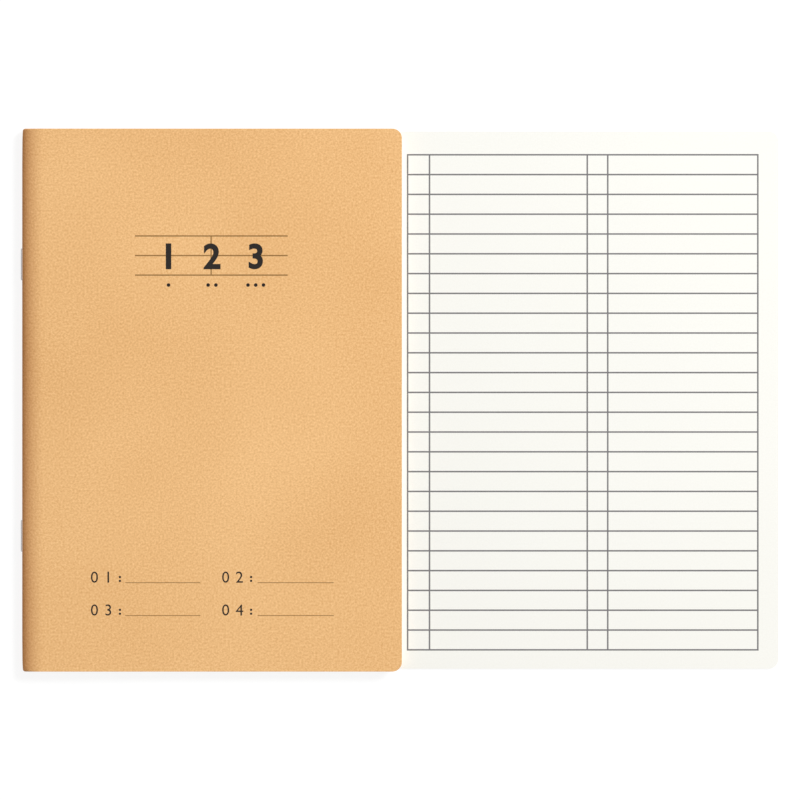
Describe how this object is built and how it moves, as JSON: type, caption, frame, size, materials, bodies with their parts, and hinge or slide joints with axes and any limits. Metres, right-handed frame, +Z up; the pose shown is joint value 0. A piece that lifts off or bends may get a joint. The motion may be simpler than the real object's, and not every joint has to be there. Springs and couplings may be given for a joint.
{
  "type": "stapled exercise book",
  "caption": "Closed exercise book with a plain kraft card cover, stapled fold, ruled cream leaves and a ruled leaf drawn out beside it.",
  "frame": {"origin": "middle of the closed book's underside, on the surface it lies on", "axes": "+X from the spine to the fore edge, +Y to the head, +Z up out of the front cover"},
  "size_m": [0.2932, 0.21, 0.0049],
  "materials": {
    "kraft_card": "matt",
    "page_paper": "matt",
    "staple_wire": "satin"
  },
  "bodies": {
    "back_half": {"back_cover": "kraft_card", "cover_fold": "kraft_card", "sheet_fold_01": "page_paper", "sheet_fold_02": "page_paper", "sheet_fold_03": "page_paper", "sheet_fold_04": "page_paper", "sheet_fold_05": "page_paper", "sheet_fold_06": "page_paper", "sheet_fold_07": "page_paper", "sheet_fold_08": "page_paper", "sheet_fold_09": "page_paper", "sheet_fold_10": "page_paper", "sheet_fold_11": "page_paper", "sheet_fold_12": "page_paper", "sheet_fold_13": "page_paper", "sheet_fold_14": "page_paper", "sheet_fold_15": "page_paper", "leaf_16": "page_paper", "leaf_17": "page_paper", "leaf_18": "page_paper", "leaf_19": "page_paper", "leaf_20": "page_paper", "leaf_21": "page_paper", "leaf_22": "page_paper", "leaf_23": "page_paper", "leaf_24": "page_paper", "leaf_25": "page_paper", "leaf_26": "page_paper", "leaf_27": "page_paper", "leaf_28": "page_paper", "leaf_29": "page_paper", "leaf_30": "page_paper"},
    "stitching": {"staple_head": "staple_wire", "staple_tail": "staple_wire"},
    "turned_leaf_01": {"leaf_01": "page_paper"},
    "turned_leaf_02": {"leaf_02": "page_paper"},
    "turned_leaf_03": {"leaf_03": "page_paper"},
    "turned_leaf_04": {"leaf_04": "page_paper"},
    "turned_leaf_05": {"leaf_05": "page_paper"},
    "turned_leaf_06": {"leaf_06": "page_paper"},
    "turned_leaf_07": {"leaf_07": "page_paper"},
    "turned_leaf_08": {"leaf_08": "page_paper"},
    "turned_leaf_09": {"leaf_09": "page_paper"},
    "turned_leaf_10": {"leaf_10": "page_paper"},
    "turned_leaf_11": {"leaf_11": "page_paper"},
    "turned_leaf_12": {"leaf_12": "page_paper"},
    "turned_leaf_13": {"leaf_13": "page_paper"},
    "turned_leaf_14": {"leaf_14": "page_paper"},
    "turned_leaf_15": {"leaf_15": "page_paper"},
    "front_cover_panel": {"front_cover": "kraft_card"},
    "drawn_leaf": {"loose_leaf": "page_paper"}
  },
  "joints": [
    {"name": "opening_hinge", "type": "hinge", "parent": "back_half", "child": "turned_leaf_01", "pos_m": [-0.0735, 0, 0.00244], "axis": [0, -1, 0], "range_deg": [0, 177.5], "deforming": ["cover_fold", "sheet_fold_01", "sheet_fold_02", "sheet_fold_03", "sheet_fold_04", "sheet_fold_05", "sheet_fold_06", "sheet_fold_07", "sheet_fold_08", "sheet_fold_09", "sheet_fold_10", "sheet_fold_11", "sheet_fold_12", "sheet_fold_13", "sheet_fold_14", "sheet_fold_15"]},
    {"name": "leaf_02_hinge", "type": "hinge", "parent": "back_half", "child": "turned_leaf_02", "pos_m": [-0.0735, 0, 0.00244], "axis": [0, -1, 0], "range_deg": [0, 177]},
    {"name": "leaf_03_hinge", "type": "hinge", "parent": "back_half", "child": "turned_leaf_03", "pos_m": [-0.0735, 0, 0.00244], "axis": [0, -1, 0], "range_deg": [0, 176.5]},
    {"name": "leaf_04_hinge", "type": "hinge", "parent": "back_half", "child": "turned_leaf_04", "pos_m": [-0.0735, 0, 0.00244], "axis": [0, -1, 0], "range_deg": [0, 175.99]},
    {"name": "leaf_05_hinge", "type": "hinge", "parent": "back_half", "child": "turned_leaf_05", "pos_m": [-0.0735, 0, 0.00244], "axis": [0, -1, 0], "range_deg": [0, 175.48]},
    {"name": "leaf_06_hinge", "type": "hinge", "parent": "back_half", "child": "turned_leaf_06", "pos_m": [-0.0735, 0, 0.00244], "axis": [0, -1, 0], "range_deg": [0, 174.97]},
    {"name": "leaf_07_hinge", "type": "hinge", "parent": "back_half", "child": "turned_leaf_07", "pos_m": [-0.0735, 0, 0.00244], "axis": [0, -1, 0], "range_deg": [0, 174.47]},
    {"name": "leaf_08_hinge", "type": "hinge", "parent": "back_half", "child": "turned_leaf_08", "pos_m": [-0.0735, 0, 0.00244], "axis": [0, -1, 0], "range_deg": [0, 173.96]},
    {"name": "leaf_09_hinge", "type": "hinge", "parent": "back_half", "child": "turned_leaf_09", "pos_m": [-0.0735, 0, 0.00244], "axis": [0, -1, 0], "range_deg": [0, 173.45]},
    {"name": "leaf_10_hinge", "type": "hinge", "parent": "back_half", "child": "turned_leaf_10", "pos_m": [-0.0735, 0, 0.00244], "axis": [0, -1, 0], "range_deg": [0, 172.95]},
    {"name": "leaf_11_hinge", "type": "hinge", "parent": "back_half", "child": "turned_leaf_11", "pos_m": [-0.0735, 0, 0.00244], "axis": [0, -1, 0], "range_deg": [0, 172.44]},
    {"name": "leaf_12_hinge", "type": "hinge", "parent": "back_half", "child": "turned_leaf_12", "pos_m": [-0.0735, 0, 0.00244], "axis": [0, -1, 0], "range_deg": [0, 171.93]},
    {"name": "leaf_13_hinge", "type": "hinge", "parent": "back_half", "child": "turned_leaf_13", "pos_m": [-0.0735, 0, 0.00244], "axis": [0, -1, 0], "range_deg": [0, 171.42]},
    {"name": "leaf_14_hinge", "type": "hinge", "parent": "back_half", "child": "turned_leaf_14", "pos_m": [-0.0735, 0, 0.00244], "axis": [0, -1, 0], "range_deg": [0, 170.92]},
    {"name": "leaf_15_hinge", "type": "hinge", "parent": "back_half", "child": "turned_leaf_15", "pos_m": [-0.0735, 0, 0.00244], "axis": [0, -1, 0], "range_deg": [0, 170.41]},
    {"name": "stitch_hinge", "type": "hinge", "parent": "back_half", "child": "stitching", "pos_m": [-0.07247, 0, 0.0014], "axis": [0, -1, 0], "range_deg": [0, 88.76]},
    {"name": "cover_hinge", "type": "hinge", "parent": "turned_leaf_01", "child": "front_cover_panel", "pos_m": [-0.07106, 0, 0.00508], "axis": [0, -1, 0], "range_deg": [0, 181.9]},
    {"name": "loose_leaf_slide", "type": "slide", "parent": "back_half", "child": "drawn_leaf", "axis": [1, 0, 0], "range_m": [-0.1439, 0]}
  ],
  "couplings": [
    {"joint": "leaf_02_hinge", "follows": "opening_hinge", "ratio": 0.99714},
    {"joint": "leaf_03_hinge", "follows": "opening_hinge", "ratio": 0.99429},
    {"joint": "leaf_04_hinge", "follows": "opening_hinge", "ratio": 0.99143},
    {"joint": "leaf_05_hinge", "follows": "opening_hinge", "ratio": 0.98857},
    {"joint": "leaf_06_hinge", "follows": "opening_hinge", "ratio": 0.98571},
    {"joint": "leaf_07_hinge", "follows": "opening_hinge", "ratio": 0.98286},
    {"joint": "leaf_08_hinge", "follows": "opening_hinge", "ratio": 0.98},
    {"joint": "leaf_09_hinge", "follows": "opening_hinge", "ratio": 0.97714},
    {"joint": "leaf_10_hinge", "follows": "opening_hinge", "ratio": 0.97429},
    {"joint": "leaf_11_hinge", "follows": "opening_hinge", "ratio": 0.97143},
    {"joint": "leaf_12_hinge", "follows": "opening_hinge", "ratio": 0.96857},
    {"joint": "leaf_13_hinge", "follows": "opening_hinge", "ratio": 0.96571},
    {"joint": "leaf_14_hinge", "follows": "opening_hinge", "ratio": 0.96286},
    {"joint": "leaf_15_hinge", "follows": "opening_hinge", "ratio": 0.96},
    {"joint": "stitch_hinge", "follows": "opening_hinge", "ratio": 0.5}
  ]
}
